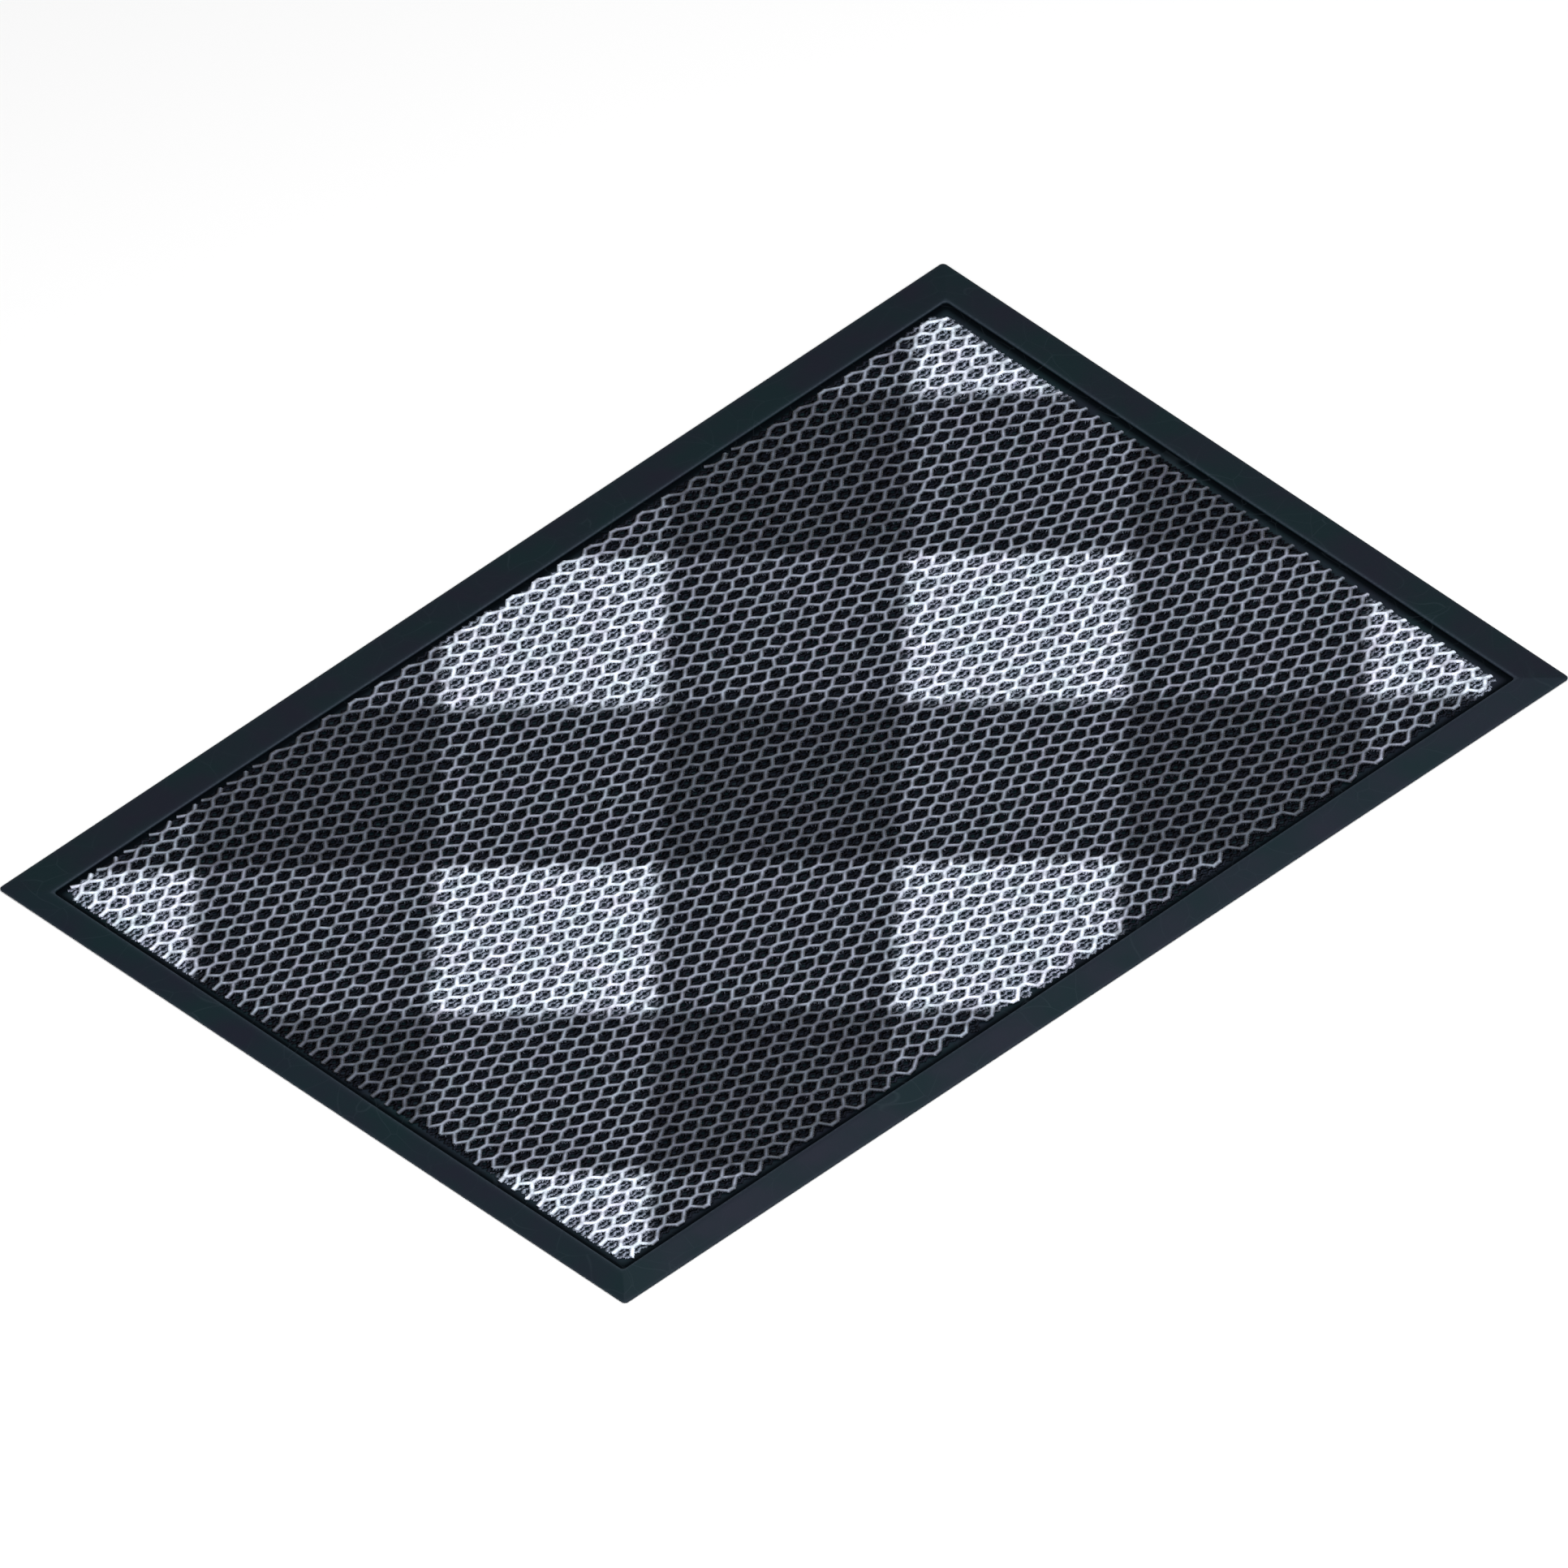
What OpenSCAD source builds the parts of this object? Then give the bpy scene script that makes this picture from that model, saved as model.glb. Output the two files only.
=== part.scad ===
// Door mat: a shallow moulded rubber tray with a bevelled border, and a loose
// insert of knitted spacer mesh that lies in the tray and lifts out.
//
// The origin is the middle of the footprint, on the ground. The long side runs
// along X, the short side along Y, and Z points up. All sizes are millimetres.

/* [Tray] */
// Overall length, from the foot of one bevel to the foot of the other
tray_length = 600; // [450:1:900]
// Overall width, from the foot of one bevel to the foot of the other
tray_width = 398; // [300:1:600]
// Radius of the four outer corners, seen from above
corner_radius = 3; // [1:0.5:12]
// Thickness of the rubber at the foot of the bevel
foot_height = 0.8; // [0.6:0.1:1.6]
// Height of the lip above the ground
lip_height = 3; // [2.4:0.1:8]
// Width of the border from its foot to the pocket, at the -X end
border_left = 14; // [12:0.2:40]
// Width of the border at the +X end
border_right = 19.6; // [12:0.2:40]
// Width of the border at the -Y side
border_front = 15.4; // [12:0.2:40]
// Width of the border at the +Y side
border_back = 21.4; // [12:0.2:40]
// Width of the level lip between the bevel and the pocket
lip_land = 2.2; // [1:0.1:5]
// Bevel that breaks the edge of the lip, all round the mouth of the pocket
mouth_bevel = 0.5; // [0.2:0.1:1]
// Radius of the four inner corners of the pocket
pocket_radius = 2; // [1:0.5:8]
// Thickness of the floor of the tray, without the studs
web_thickness = 1; // [0.8:0.1:2]

/* [Sole] */
// Height of the studs that hold the floor of the tray off the ground
stud_height = 0.5; // [0.4:0.1:1]
// Diameter of one stud
stud_diameter = 8; // [4:0.5:14]
// Distance from one stud to the next
stud_pitch = 34; // [24:1:60]

/* [Insert] */
// Space between the insert and the pocket at the -X end
gap_left = 2.6; // [1:0.1:10]
// Space between the insert and the pocket at the +X end
gap_right = 4.7; // [1:0.1:10]
// Space between the insert and the pocket at the -Y side
gap_front = 2.2; // [1:0.1:10]
// Space between the insert and the pocket at the +Y side
gap_back = 1.6; // [1:0.1:10]
// Radius of the corners of the insert, as it was cut
insert_radius = 4; // [1:0.5:10]
// Thickness of the honeycomb net on top
face_thickness = 0.8; // [0.5:0.1:1.5]
// Height of the upright yarns between the two nets
spacer_height = 1.2; // [1.2:0.1:6]
// Thickness of the fine net underneath
back_thickness = 0.4; // [0.4:0.1:1.2]
// Clearance between the insert and the floor of the pocket when it lies in it
seat_clearance = 0.1; // [0.05:0.05:0.3]

/* [Hidden] */

// Segments in a full circle
$fn = 48;
// How far a cutting solid runs past the face it cuts
overshoot = 1;

// Levels above the ground
pocket_floor = stud_height + web_thickness;
back_level = pocket_floor + seat_clearance;
spacer_level = back_level + back_thickness;
face_level = spacer_level + spacer_height;

// The pocket, and the insert that lies in it
pocket_length = tray_length - border_left - border_right;
pocket_width = tray_width - border_front - border_back;
pocket_x = (border_left - border_right) / 2;
pocket_y = (border_front - border_back) / 2;
insert_length = pocket_length - gap_left - gap_right;
insert_width = pocket_width - gap_front - gap_back;
insert_x = pocket_x + (gap_left - gap_right) / 2;
insert_y = pocket_y + (gap_front - gap_back) / 2;

// The rows of studs that fit under the floor of the tray
studs_along = floor((pocket_length - stud_diameter) / stud_pitch);
studs_across = floor((pocket_width - stud_diameter) / stud_pitch);

// A plate with round corners, centred on the Z axis and standing on z = 0
module rounded_plate(length, width, height, radius) {
    straight_x = length / 2 - radius;
    straight_y = width / 2 - radius;
    translate([-straight_x, -width / 2, 0])
        cube([2 * straight_x, width, height]);
    translate([-length / 2, -straight_y, 0])
        cube([length, 2 * straight_y, height]);
    for (x = [-straight_x, straight_x], y = [-straight_y, straight_y])
        translate([x, y, 0])
            cylinder(r = radius, h = height);
}

// A bar along Y, centred on the Z axis, with the given section
module bar_along_y(length, section) {
    translate([0, length / 2, 0])
        rotate([90, 0, 0])
            linear_extrude(height = length)
                polygon(section);
}

// The section of the tray over the given span, from foot to foot, with the
// width of its border at the low end and at the high end
function bevel_section(span, low, high) =
    let (foot = span / 2)
    [
        [-foot, 0],
        [foot, 0],
        [foot, foot_height],
        [foot - high + lip_land, lip_height],
        [-foot + low - lip_land, lip_height],
        [-foot, foot_height],
    ];

// The section of a space that widens by the flare on both sides as it rises
function flared_section(span, flare, height) = [
    [-span / 2, 0],
    [span / 2, 0],
    [span / 2 + flare, height],
    [-span / 2 - flare, height],
];

// A round-cornered plate whose sides lean outwards by the flare as it rises
module flared_plate(length, width, height, radius, flare) {
    straight_x = length / 2 - radius;
    straight_y = width / 2 - radius;
    bar_along_y(2 * straight_y, flared_section(length, flare, height));
    rotate([0, 0, 90])
        bar_along_y(2 * straight_x, flared_section(width, flare, height));
    for (x = [-straight_x, straight_x], y = [-straight_y, straight_y])
        translate([x, y, 0])
            cylinder(r1 = radius, r2 = radius + flare, h = height);
}

// The outside of the tray: bevels that climb from the foot to the lip and meet
// in a straight crease at each corner
module tray_block() {
    intersection() {
        bar_along_y(
            tray_width,
            bevel_section(tray_length, border_left, border_right)
        );
        rotate([0, 0, 90])
            bar_along_y(
                tray_length,
                bevel_section(tray_width, border_front, border_back)
            );
        rounded_plate(tray_length, tray_width, lip_height, corner_radius);
    }
}

// The opening inside the border, right through, with the bevel at its mouth
module border_opening() {
    flare = mouth_bevel + overshoot;
    translate([pocket_x, pocket_y, -overshoot])
        rounded_plate(
            pocket_length,
            pocket_width,
            lip_height + 2 * overshoot,
            pocket_radius
        );
    translate([pocket_x, pocket_y, lip_height - mouth_bevel])
        flared_plate(pocket_length, pocket_width, flare, pocket_radius, flare);
}

// Straight rows of studs, from the ground into the floor of the tray
module studs() {
    first_x = pocket_x - stud_pitch * (studs_along - 1) / 2;
    first_y = pocket_y - stud_pitch * (studs_across - 1) / 2;
    for (i = [0:studs_along - 1], j = [0:studs_across - 1])
        translate([first_x + i * stud_pitch, first_y + j * stud_pitch, 0])
            cylinder(d = stud_diameter, h = stud_height + web_thickness / 2);
}

// One layer of the insert, in its place over the floor of the pocket
module insert_layer(level, thickness) {
    translate([insert_x, insert_y, level])
        rounded_plate(insert_length, insert_width, thickness, insert_radius);
}

// Moulded black rubber: the bevelled border and the lip round the pocket
module tray_border() {
    color("#1f272e")
        difference() {
            tray_block();
            border_opening();
        }
}

// The same moulding inside the border: the floor of the tray and its studs
module tray_floor() {
    color("#1b2126") {
        translate([pocket_x, pocket_y, stud_height])
            rounded_plate(pocket_length, pocket_width, web_thickness, pocket_radius);
        studs();
    }
}

// The honeycomb net that shoes rub on, black and white
module face_net() {
    color("#b9bdc8")
        insert_layer(face_level, face_thickness);
}

// The springy upright yarns that hold the two nets apart
module spacer_pile() {
    color("#565c66")
        insert_layer(spacer_level, spacer_height);
}

// The close net that lies on the rubber
module back_net() {
    color("#14161c")
        insert_layer(back_level, back_thickness);
}

tray_border();
tray_floor();
face_net();
spacer_pile();
back_net();
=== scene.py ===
"""Door mat: a moulded rubber tray, and the insert of spacer mesh that lies loose in it.

The tray is one moulding with a bevelled border. The insert is a warp-knitted spacer mesh of
three layers: an open honeycomb net on top, a close net underneath, and the upright yarns that
hold the two apart. Sizes are in metres, in the frame of the CAD model.
"""

import logging
import math
from dataclasses import dataclass, field
from enum import Enum
from typing import Any

import bmesh
import bpy
import numpy as np
from mathutils import Matrix, Vector


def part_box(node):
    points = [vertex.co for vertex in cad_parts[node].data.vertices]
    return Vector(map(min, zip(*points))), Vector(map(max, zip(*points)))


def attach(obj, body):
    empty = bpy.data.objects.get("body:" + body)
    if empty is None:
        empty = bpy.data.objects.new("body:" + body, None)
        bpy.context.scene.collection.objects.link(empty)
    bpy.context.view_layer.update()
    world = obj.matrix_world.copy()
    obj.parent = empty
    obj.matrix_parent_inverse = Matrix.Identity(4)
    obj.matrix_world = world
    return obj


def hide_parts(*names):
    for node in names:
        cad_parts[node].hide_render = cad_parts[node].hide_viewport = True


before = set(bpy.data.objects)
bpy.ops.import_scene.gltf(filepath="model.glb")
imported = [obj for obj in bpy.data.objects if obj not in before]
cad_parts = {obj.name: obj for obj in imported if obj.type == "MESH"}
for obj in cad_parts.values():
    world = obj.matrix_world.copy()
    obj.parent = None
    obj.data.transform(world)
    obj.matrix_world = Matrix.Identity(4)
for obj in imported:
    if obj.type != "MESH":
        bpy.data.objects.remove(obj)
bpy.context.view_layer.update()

MM = 0.001
UP = (0.0, 0.0, 1.0)
# A noise's colour runs from 0 to 1, so this is its middle
MID_NOISE = (0.5,) * 3
# Edges of the rubber that turn by more than this are left sharp
SHARP_TURN = math.radians(50)
# Plain value of a rubber face's painted light and wear: below it the pocket is painted darker, as
# shade; above it edges are speckled pale, as dust where worn and as a painted highlight at the pocket's mouth
PLAIN_LIGHT_AND_WEAR = 0.3

Tree = bpy.types.NodeTree
Node = bpy.types.Node
Socket = bpy.types.NodeSocket
Piece = bpy.types.Object
Mesh = bpy.types.Mesh
Material = bpy.types.Material

log = logging.getLogger("door_mat")


class Body(Enum):
    """The two loose things of the mat, as the frame names them."""

    TRAY = "tray"
    INSERT = "insert"


class Slot(Enum):
    """The record's material slots."""

    RUBBER = "tray_rubber"
    FACE = "face_yarn"
    UPRIGHT = "spacer_yarn"
    BACK = "back_yarn"


class Inlet(Enum):
    """The kinds of input that a geometry tree here may have."""

    COUNT = "NodeSocketInt"
    SIZE = "NodeSocketFloat"
    PLACE = "NodeSocketVector"
    FINISH = "NodeSocketMaterial"

    @classmethod
    def of(cls, value: Any) -> "Inlet":
        """Says which kind of input a value needs."""
        return {int: cls.COUNT, float: cls.SIZE, tuple: cls.PLACE}.get(type(value), cls.FINISH)


# ---------------------------------------------------------------- nodes and meshes


def add_node(tree: Tree, kind: str, inputs: dict | None = None, **settings: Any) -> Node:
    """Adds a node, sets its properties, and fills its inputs.

    Args:
        tree: The tree that the node goes into.
        kind: The node's type.
        inputs: Value by input name or number. A socket or a node is linked, anything else is set.
        **settings: The node's own properties.

    Returns:
        The new node.
    """
    node = tree.nodes.new(kind)
    for name, value in settings.items():
        setattr(node, name, value)
    for key, value in (inputs or {}).items():
        if isinstance(value, Node):
            value = value.outputs[0]
        if isinstance(value, Socket):
            tree.links.new(value, node.inputs[key])
        else:
            node.inputs[key].default_value = value
    return node


def reckon(tree: Tree, operation: str, *values: Any) -> Node:
    """Adds a node that works out one number from its inputs, given in order."""
    return add_node(tree, "ShaderNodeMath", dict(enumerate(values)), operation=operation)


def reckon_vector(tree: Tree, operation: str, *values: Any) -> Node:
    """Adds a node that works on vectors, given in order. The second input of SCALE is a number."""
    inputs = {0: values[0], "Scale": values[1]} if operation == "SCALE" else dict(enumerate(values))
    return add_node(tree, "ShaderNodeVectorMath", inputs, operation=operation)


def split(tree: Tree, vector: Any) -> tuple[Socket, Socket, Socket]:
    """Splits a vector into its x, y and z."""
    parts = add_node(tree, "ShaderNodeSeparateXYZ", {0: vector}).outputs
    return parts["X"], parts["Y"], parts["Z"]


def remap(
    tree: Tree, value: Any, start: Any, end: Any, low: Any = 0.0, high: Any = 1.0, smooth: bool = False
) -> Node:
    """Adds a node that turns one range of a value into another, and stops at its ends.

    Args:
        tree: The tree.
        value: The node or socket to read.
        start: The value that gives low.
        end: The value that gives high.
        low: What start becomes.
        high: What end becomes.
        smooth: Whether it eases in and out.

    Returns:
        The new node.
    """
    inputs = {"Value": value, "From Min": start, "From Max": end, "To Min": low, "To Max": high}
    ease = "SMOOTHSTEP" if smooth else "LINEAR"
    return add_node(tree, "ShaderNodeMapRange", inputs, interpolation_type=ease)


def linear(code: str) -> tuple[float, float, float, float]:
    """Turns an sRGB hex colour into a linear one.

    Args:
        code: The colour as #rrggbb.

    Returns:
        Red, green, blue and an alpha of 1.
    """
    shares = [int(code[i : i + 2], 16) / 255 for i in (1, 3, 5)]
    red, green, blue = (s / 12.92 if s <= 0.04045 else ((s + 0.055) / 1.055) ** 2.4 for s in shares)
    return red, green, blue, 1.0


def start_tree(name: str, values: dict[str, Any]) -> tuple[Tree, Node]:
    """Starts a geometry tree with a mesh in, a mesh out and an input for each of its values.

    Args:
        name: The tree's name.
        values: The value that each input will get, by the input's name.

    Returns:
        The tree and its input node.
    """
    tree = bpy.data.node_groups.new(name, "GeometryNodeTree")
    tree.interface.new_socket("Mesh", in_out="INPUT", socket_type="NodeSocketGeometry")
    for title, value in values.items():
        tree.interface.new_socket(title, in_out="INPUT", socket_type=Inlet.of(value).value)
    tree.interface.new_socket("Mesh", in_out="OUTPUT", socket_type="NodeSocketGeometry")
    return tree, tree.nodes.new("NodeGroupInput")


def end_tree(tree: Tree, geometry: Any, inlet: Node) -> None:
    """Ends a geometry tree: makes all that it repeats real, and gives it the finish that came in.

    Args:
        tree: The tree.
        geometry: The node or socket that holds the shape.
        inlet: The tree's input node, which has a Finish.
    """
    solid = add_node(tree, "GeometryNodeRealizeInstances", {"Geometry": geometry})
    inputs = {"Geometry": solid, "Material": inlet.outputs["Finish"]}
    add_node(tree, "NodeGroupOutput", {"Mesh": add_node(tree, "GeometryNodeSetMaterial", inputs)})


def keep_number(tree: Tree, geometry: Any, title: str, value: Any) -> Node:
    """Adds a node that keeps a number on every point of a geometry, under a name."""
    inputs = {"Geometry": geometry, "Name": title, "Value": value}
    return add_node(tree, "GeometryNodeStoreNamedAttribute", inputs, data_type="FLOAT")


def kept_number(tree: Tree, title: str) -> Node:
    """Adds a node that reads a kept number."""
    return add_node(tree, "GeometryNodeInputNamedAttribute", {"Name": title}, data_type="FLOAT")


def shift(tree: Tree, geometry: Any, offset: Any) -> Node:
    """Adds a node that moves every point of a geometry by an offset of its own."""
    return add_node(tree, "GeometryNodeSetPosition", {"Geometry": geometry, "Offset": offset})


def seeded_noise(tree: Tree, place: Any, seed: Any, scale: float, detail: float) -> Node:
    """Adds a noise, as noise() does, that differs from one seed to the next."""
    inputs = {"Vector": place, "W": seed, "Scale": scale, "Detail": detail}
    return add_node(tree, "ShaderNodeTexNoise", inputs, noise_dimensions="4D")


def draw(tree: Tree, low: float, seed: int) -> Socket:
    """Draws a number from low to 1 for every point."""
    inputs = {2: low, 3: 1.0, "Seed": seed}
    return add_node(tree, "FunctionNodeRandomValue", inputs, data_type="FLOAT").outputs[1]


def show(name: str, data: bpy.types.ID) -> Piece:
    """Puts a mesh, a lamp or a camera into the scene as an object at the origin."""
    made = bpy.data.objects.new(name, data)
    bpy.context.scene.collection.objects.link(made)
    return made


def run_tree(name: str, tree: Tree, seed: Mesh, values: dict[str, Any]) -> Piece:
    """Runs a geometry tree on a mesh and keeps the result as a plain mesh.

    Args:
        name: The name of the new piece.
        tree: The geometry tree.
        seed: The mesh that goes in, which is the thing that the tree repeats, or an empty one.
        values: The value of each named input.

    Returns:
        The new piece, with no modifier on it.
    """
    carrier = show(f"{name}_carrier", seed)
    modifier = carrier.modifiers.new(tree.name, "NODES")
    modifier.node_group = tree
    sockets = {i.name: i.identifier for i in tree.interface.items_tree if i.in_out == "INPUT"}
    for title, value in values.items():
        modifier[sockets[title]] = value
    drawn = carrier.evaluated_get(bpy.context.evaluated_depsgraph_get())
    mesh = bpy.data.meshes.new_from_object(drawn)
    carrier.modifiers.remove(modifier)
    bpy.data.objects.remove(carrier)
    mesh.name = name
    return show(name, mesh)


def set_light_and_wear(mesh: Mesh, painted_light_and_wear: Any) -> None:
    """Keeps the painted light and wear of each point of a rubber piece, for its finish: low values paint
    shade, high values pale specks of dust and highlight.
    """
    mesh.attributes.new("painted_light_and_wear", "FLOAT", "POINT").data.foreach_set("value", painted_light_and_wear)


def numbers(mesh: Mesh, title: str) -> np.ndarray:
    """Reads an attribute of a mesh's points."""
    found = np.empty(len(mesh.vertices), dtype=np.float32)
    mesh.attributes[title].data.foreach_get("value", found)
    return found


def lay_map(mesh: Mesh, sides: int) -> None:
    """Lays each wale of a net as one strip of the map that its finish is baked to.

    Args:
        mesh: The net, with its wale, ring and side numbers.
        sides: How many flats its yarn has all round.
    """
    corners = np.empty(len(mesh.loops), dtype=np.int32)
    mesh.loops.foreach_get("vertex_index", corners)
    starts = np.empty(len(mesh.polygons), dtype=np.int32)
    mesh.polygons.foreach_get("loop_start", starts)
    wale, ring, side = (numbers(mesh, title)[corners] for title in ("wale", "ring", "side"))
    # The last flat runs on from its side to one past it, not back to 0
    reach = np.maximum.reduceat(side, starts) - np.minimum.reduceat(side, starts)
    last = np.repeat(reach == sides - 1, np.diff(np.append(starts, len(corners))))
    side[last & (side == 0)] = sides
    across = (ring - ring.min()) / np.ptp(ring)
    up = (wale - wale.min() + side / sides) / (np.ptp(wale) + 1)
    layer = mesh.uv_layers.new(name="OFBake")
    layer.data.foreach_set("uv", np.column_stack((across, up)).ravel())


def drop_numbers(mesh: Mesh) -> None:
    """Removes the attributes that only the building needed."""
    for title in ("wale", "ring", "side", "depth"):
        if title in mesh.attributes:
            mesh.attributes.remove(mesh.attributes[title])


def report(piece: Piece) -> None:
    """Logs a piece's name, triangles and size."""
    piece.data.calc_loop_triangles()
    size = ", ".join(f"{side / MM:.1f}" for side in piece.dimensions)
    log.info("%s: %d triangles, %s mm", piece.name, len(piece.data.loop_triangles), size)


# ---------------------------------------------------------------- finishes


def start_finish(name: str) -> tuple[Material, Tree]:
    """Starts a material with an empty tree."""
    material = bpy.data.materials.new(name)
    material.use_nodes = True
    material.node_tree.nodes.clear()
    return material, material.node_tree


def end_finish(tree: Tree, inputs: dict[str, Any]) -> Node:
    """Ends a material with its surface, which gets the named inputs."""
    surface = add_node(tree, "ShaderNodeBsdfPrincipled", inputs)
    add_node(tree, "ShaderNodeOutputMaterial", {"Surface": surface})
    return surface


def number(tree: Tree, title: str) -> Socket:
    """Reads a number that the piece keeps on its points."""
    return add_node(tree, "ShaderNodeAttribute", attribute_name=title).outputs["Fac"]


def noise(tree: Tree, place: Any, scale: float, detail: float) -> Node:
    """Adds a noise with so many swings in a metre and so many finer layers over it."""
    return add_node(tree, "ShaderNodeTexNoise", {"Vector": place, "Scale": scale, "Detail": detail})


def blend(tree: Tree, share: Any, first: Any, second: Any, way: str = "MIX") -> Socket:
    """Adds a node that blends two colours.

    Args:
        tree: The material's tree.
        share: The share of the second colour.
        first: The first colour, a value or a socket.
        second: The second colour.
        way: How the second lies over the first.

    Returns:
        The blended colour.
    """
    inputs = {0: share, 6: first, 7: second}
    return add_node(tree, "ShaderNodeMix", inputs, data_type="RGBA", blend_type=way).outputs[2]


@dataclass(frozen=True)
class CheckPattern:
    repeat_x: float = 300 * MM
    repeat_y: float = 288 * MM
    half_band: float = 0.24
    blur: float = 0.022
    stray: float = 5 * MM
    ragged_scale: float = 0.13 / MM
    middle: tuple[float, float, float] = (-3.3 * MM, -1.3 * MM, 0.0)

    def weigh(self, tree: Tree) -> tuple[Node, Node]:
        """Adds the nodes that say how many bands lie over a spot.

        Args:
            tree: The material's tree.

        Returns:
            A node that is 1 where at least one band lies, and one that is 1 where both do.
        """
        place = add_node(tree, "ShaderNodeTexCoord").outputs["Object"]
        ragged = noise(tree, place, self.ragged_scale, 0.0).outputs["Color"]
        pull = reckon_vector(tree, "SUBTRACT", ragged, MID_NOISE)
        strayed = reckon_vector(tree, "ADD", place, reckon_vector(tree, "SCALE", pull, self.stray))
        spot = reckon_vector(tree, "SUBTRACT", strayed, self.middle)
        bands = []
        for slant in (-1, 1):
            slope = (1 / self.repeat_x, slant / self.repeat_y, 0.0)
            turn = reckon_vector(tree, "DOT_PRODUCT", spot, slope).outputs["Value"]
            off = reckon(tree, "SUBTRACT", reckon(tree, "FRACT", turn), 0.5)
            away = reckon(tree, "ABSOLUTE", off)
            outer, inner = self.half_band + self.blur, self.half_band - self.blur
            bands.append(remap(tree, away, outer, inner, smooth=True))
        return reckon(tree, "MAXIMUM", *bands), reckon(tree, "MULTIPLY", *bands)


@dataclass(frozen=True)
class Yarn:
    """Polyester yarn, warp knitted: soft light from many fine filaments, in black, grey and white.

    The lit and the shaded colours each have three shades: the black ground, grey where one band of
    the checks lies and white where two cross. An attribute fades the yarn from the lit colours to the
    shaded ones, so that the flanks of a net's yarn and the lower end of an upright are painted darker, as
    shade.
    """

    name: str
    lit_colours: tuple[str, str, str]
    shaded_colours: tuple[str, str, str]
    shade_by: str
    checks: CheckPattern
    roughness: float = 0.62
    shine: float = 0.2
    sheen: float = 0.1
    sheen_roughness: float = 0.4
    stitch: float = 1.4 * MM
    stitch_depth: float = 0.16 * MM
    stitch_slant: float = 0.6
    stitch_strength: float = 0.7
    loops: bool = True
    haze: str = "#33404a"
    haze_share: float = 0.0
    haze_scale: float = 0.16 / MM
    haze_range: tuple[float, float] = (0.42, 0.68)
    dye_lots: tuple[str, str] = ("#f3ecff", "#e6fbff")
    dye_scale: float = 0.07 / MM
    light_scale: float = 0.26 / MM
    light_range: tuple[float, float] = (0.3, 0.7)
    light_levels: tuple[float, float] = (0.5, 1.36)

    def make(self) -> Material:
        """Builds the material.

        Returns:
            The material, with its colour from the checks and its stitches along the yarn.
        """
        material, tree = start_finish(self.name)
        bands = self.checks.weigh(tree)
        # Blend the lit colour into the darker one painted as shade, by how far the point lies across the yarn
        # or down an upright
        lit_colours, shaded_colours = (self.ply(tree, bands, shades) for shades in (self.lit_colours, self.shaded_colours))
        away = reckon(tree, "ABSOLUTE", number(tree, self.shade_by))
        colour = blend(tree, away, lit_colours, shaded_colours)
        # Stray pale fibres fill some cells with a blue-grey haze
        place = add_node(tree, "ShaderNodeTexCoord").outputs["Object"]
        tufts = noise(tree, place, self.haze_scale, 2.0)
        thick = remap(tree, tufts, *self.haze_range, high=self.haze_share)
        colour = blend(tree, thick, colour, linear(self.haze), "LIGHTEN")
        # Dye lots drift from lilac to a cold green over a few cells
        drift = noise(tree, place, self.dye_scale, 2.0)
        tint = blend(tree, drift, *(linear(lot) for lot in self.dye_lots))
        colour = blend(tree, 1.0, colour, tint, "MULTIPLY")
        # Single yarns catch more or less light than their neighbours
        uneven = noise(tree, place, self.light_scale, 4.0)
        level = remap(tree, uneven, *self.light_range, *self.light_levels)
        colour = blend(tree, 1.0, colour, level, "MULTIPLY")
        surface = end_finish(
            tree,
            {
                "Base Color": colour,
                "Roughness": self.roughness,
                "Sheen Weight": self.sheen,
                "Sheen Roughness": self.sheen_roughness,
                "Specular IOR Level": self.shine,
            },
        )
        if self.loops:
            tree.links.new(self.stitches(tree), surface.inputs["Normal"])
        return material

    def ply(self, tree: Tree, bands: tuple[Node, Node], shades: tuple[str, str, str]) -> Socket:
        """Adds the nodes that pick one of three shades by the bands over a spot.

        Args:
            tree: The material's tree.
            bands: The nodes that say where one band lies and where both do.
            shades: The ground, the shade of one band and that of two.

        Returns:
            The shade.
        """
        one, both = bands
        ground, single, double = (linear(shade) for shade in shades)
        return blend(tree, both, blend(tree, one, ground, single), double)

    def stitches(self, tree: Tree) -> Socket:
        """Adds the chain stitches of a wale: one V after the other along the yarn.

        Args:
            tree: The material's tree.

        Returns:
            The bumped normal.
        """
        arm = reckon(tree, "ABSOLUTE", number(tree, "lateral"))
        turns = reckon(tree, "MULTIPLY", number(tree, "along"), 1 / self.stitch)
        turn = reckon(tree, "MULTIPLY_ADD", arm, self.stitch_slant, turns)
        loop = reckon(tree, "PINGPONG", turn, 0.5)
        rounded = remap(tree, loop, 0.0, 0.5, smooth=True)
        inputs = {"Height": rounded, "Distance": self.stitch_depth, "Strength": self.stitch_strength}
        return add_node(tree, "ShaderNodeBump", inputs).outputs["Normal"]


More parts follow.
